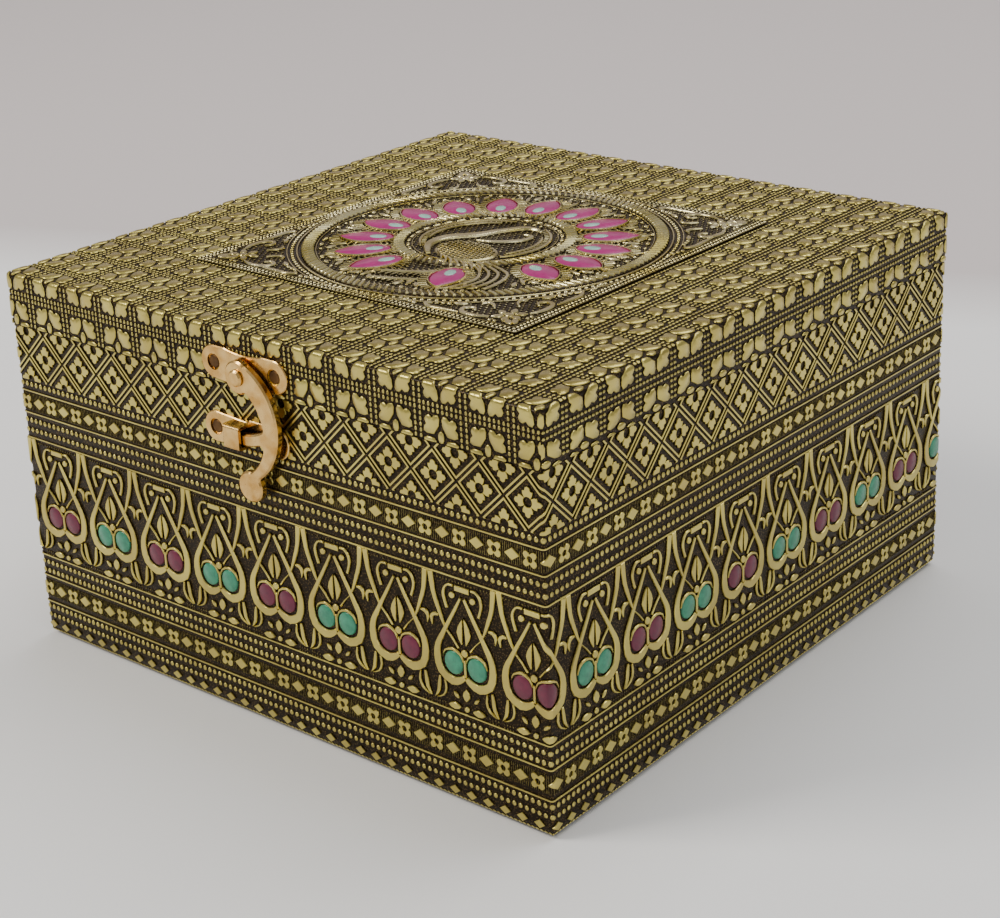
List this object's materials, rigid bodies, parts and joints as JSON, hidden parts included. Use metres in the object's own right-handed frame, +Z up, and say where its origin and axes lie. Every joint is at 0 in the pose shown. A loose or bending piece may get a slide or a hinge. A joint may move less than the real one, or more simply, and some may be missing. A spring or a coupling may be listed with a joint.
{
  "type": "gift box",
  "caption": "Square lidded dry fruit gift box clad in embossed brass sheet, with a pressed enamelled medallion, velvet-lined compartments, back hinges and a swing-hook latch.",
  "frame": {"origin": "centre of the box's underside, on the surface that it stands on", "axes": "+Z up; -Y out of the latch side; +X to the right of someone facing the latch; the lid's hinge axis runs along X at +Y"},
  "size_m": [0.203, 0.2119, 0.121],
  "materials": {
    "fibreboard": "sanded medium density fibreboard",
    "embossed_brass": "embossed thin sheet, antique brass with darkened recesses",
    "enamel_magenta": "glossy magenta cold enamel in the embossing",
    "enamel_turquoise": "glossy turquoise cold enamel in the embossing",
    "velvet_lining": "short-pile maroon velvet on card",
    "base_felt": "black felt paper",
    "latch_brass": "polished warm brass plating",
    "hinge_brass": "satin brass plating",
    "sunk_nails": "dulled brass nails"
  },
  "bodies": {
    "box": {"front_wall": "fibreboard", "back_wall": "fibreboard", "left_wall": "fibreboard", "right_wall": "fibreboard", "base_panel": "fibreboard", "body_sheet": "embossed_brass", "base_paper": "base_felt", "floor_lining": "velvet_lining", "front_lining": "velvet_lining", "back_lining": "velvet_lining", "left_lining": "velvet_lining", "right_lining": "velvet_lining", "long_divider": "velvet_lining", "cross_divider": "velvet_lining", "hinge_body_leaf_left": "hinge_brass", "hinge_body_leaf_right": "hinge_brass", "hinge_pin_left": "hinge_brass", "hinge_pin_right": "hinge_brass", "hinge_body_nails": "hinge_brass", "latch_catch": "latch_brass", "latch_catch_nails": "sunk_nails"},
    "lid": {"lid_front_rail": "fibreboard", "lid_back_rail": "fibreboard", "lid_left_rail": "fibreboard", "lid_right_rail": "fibreboard", "lid_top_board": "fibreboard", "lid_sheet": "embossed_brass", "lid_lining": "velvet_lining", "lid_rim_linings": "velvet_lining", "lid_medallion": "embossed_brass", "hinge_lid_leaf_left": "hinge_brass", "hinge_lid_leaf_right": "hinge_brass", "hinge_lid_nails": "hinge_brass", "latch_lid_plate": "latch_brass", "latch_lid_nails": "sunk_nails", "latch_rivet": "latch_brass"},
    "hook": {"latch_hook": "latch_brass"}
  },
  "joints": [
    {"name": "lid_hinge", "type": "hinge", "parent": "box", "child": "lid", "pos_m": [0, 0.1035, 0.10375], "axis": [-1, 0, 0], "range_deg": [0, 180]},
    {"name": "hook_swing", "type": "hinge", "parent": "lid", "child": "hook", "pos_m": [0, -0.103, 0.1082], "axis": [0, -1, 0], "range_deg": [0, 100]}
  ]
}
